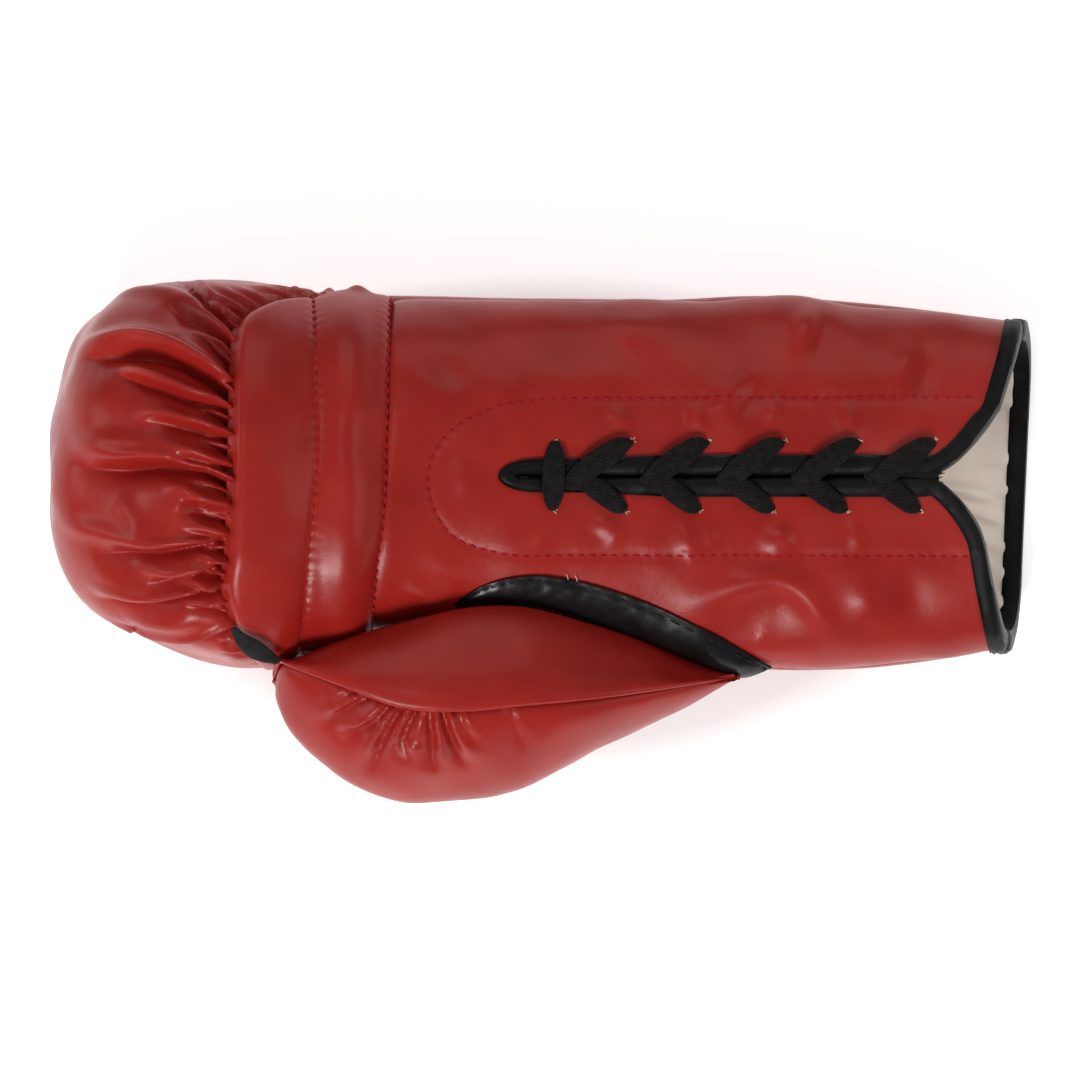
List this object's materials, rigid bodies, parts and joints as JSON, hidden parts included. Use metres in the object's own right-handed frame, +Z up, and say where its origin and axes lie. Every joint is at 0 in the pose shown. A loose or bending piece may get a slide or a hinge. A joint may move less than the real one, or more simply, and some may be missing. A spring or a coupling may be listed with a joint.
{
  "type": "boxing glove",
  "caption": "Padded lace-up boxing glove with a rounded fist, grip roll, attached thumb, lined hand space, slit cuff, bound edges and a flat lace.",
  "frame": {"origin": "middle of the bounding box, on the surface the back of the hand lies on", "axes": "+X from the knuckles to the cuff's mouth, +Y from the thumb's side to the little finger's side, +Z up, out of the palm"},
  "size_m": [0.3041, 0.1622, 0.103],
  "materials": {
    "red_leather": "satin, soft sheen",
    "cotton_lining": "soft cotton",
    "black_vinyl": "glossy",
    "black_satin": "satin tape",
    "black_webbing": "woven tape",
    "black_aglet": "smooth",
    "black_lace": "flat woven",
    "red_thread": "twisted thread",
    "foam": "soft cellular padding"
  },
  "bodies": {
    "glove": {"fist_back_shell": "red_leather", "grip_panel": "red_leather", "palm_panel": "red_leather", "knuckle_foam": "foam", "back_foam": "foam", "finger_pad": "foam", "grip_roll": "foam", "palm_padding": "foam", "hand_lining": "cotton_lining", "palm_lining": "cotton_lining", "cuff_back_binding": "black_satin", "slit_end_binding": "black_satin", "thumb_seam_strip": "black_vinyl", "thumb_tether": "black_webbing", "lace_end_bar": "black_lace", "grip_stitches": "red_thread", "facing_stitches": "red_thread", "strip_stitches": "red_thread"},
    "thumb": {"thumb_shell": "red_leather", "thumb_inner_panel": "red_leather", "thumb_foam": "foam", "thumb_inner_pad": "foam", "thumb_lining": "cotton_lining"},
    "upper_flap": {"upper_flap_leather": "red_leather", "upper_flap_facing": "foam", "upper_flap_lining": "cotton_lining", "upper_flap_binding": "black_satin", "upper_lace_runs": "black_lace", "upper_lace_tail": "black_lace", "upper_lace_aglet": "black_aglet"},
    "lower_flap": {"lower_flap_leather": "red_leather", "lower_flap_facing": "foam", "lower_flap_lining": "cotton_lining", "lower_flap_binding": "black_satin", "lower_lace_runs": "black_lace", "lower_lace_tail": "black_lace", "lower_lace_aglet": "black_aglet"}
  },
  "joints": [
    {"name": "thumb_swing", "type": "hinge", "parent": "glove", "child": "thumb", "pos_m": [0.062, -0.041, 0.05], "axis": [0, 0, 1], "range_deg": [0, 4]},
    {"name": "upper_flap_fold", "type": "hinge", "parent": "glove", "child": "upper_flap", "pos_m": [0.008, 0.0426, 0.076], "axis": [-0.9956, 0, 0.0936], "range_deg": [0, 20]},
    {"name": "lower_flap_fold", "type": "hinge", "parent": "glove", "child": "lower_flap", "pos_m": [0.008, -0.0028, 0.0755], "axis": [0.9953, 0, -0.0967], "range_deg": [0, 20]}
  ]
}
